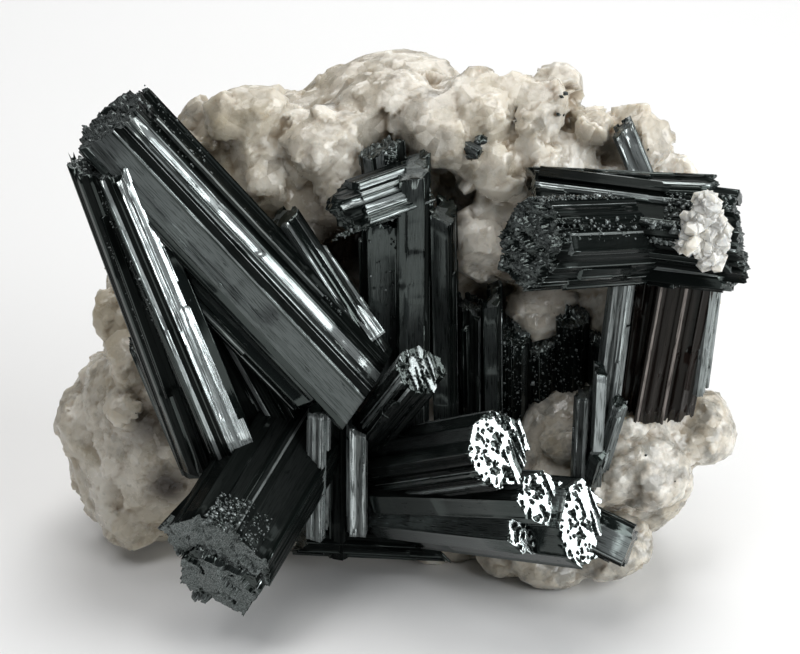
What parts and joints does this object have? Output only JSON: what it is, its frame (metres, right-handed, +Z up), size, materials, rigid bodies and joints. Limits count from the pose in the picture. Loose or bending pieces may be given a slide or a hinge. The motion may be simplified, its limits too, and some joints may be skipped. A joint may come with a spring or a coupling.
{
  "type": "manganite specimen on calcite",
  "caption": "Free-standing mineral specimen: dark striated manganite prisms grown on pale granular calcite, resting on a flat cut underside.",
  "frame": {"origin": "under the middle of the specimen, on the surface that it stands on", "axes": "+X to the right as seen from the side that shows the crystals, +Y away from that side, +Z up"},
  "size_m": [0.0698, 0.0475, 0.0531],
  "materials": {
    "manganite": "submetallic black, striated lengthwise, bright on flat faces",
    "calcite_matrix": "translucent granular, off-white to beige and grey",
    "white_calcite": "translucent white"
  },
  "bodies": {
    "root": {"left_sheaf": "manganite", "lower_left_stub": "manganite", "front_prisms": "manganite", "central_sheaf": "manganite", "inner_druse": "manganite", "facing_stub": "manganite", "lower_right_sheaf": "manganite", "upper_right_sheaf": "manganite", "right_bundle": "manganite", "top_prism": "manganite", "matrix": "calcite_matrix", "calcite_tuft": "white_calcite"}
  },
  "joints": []
}
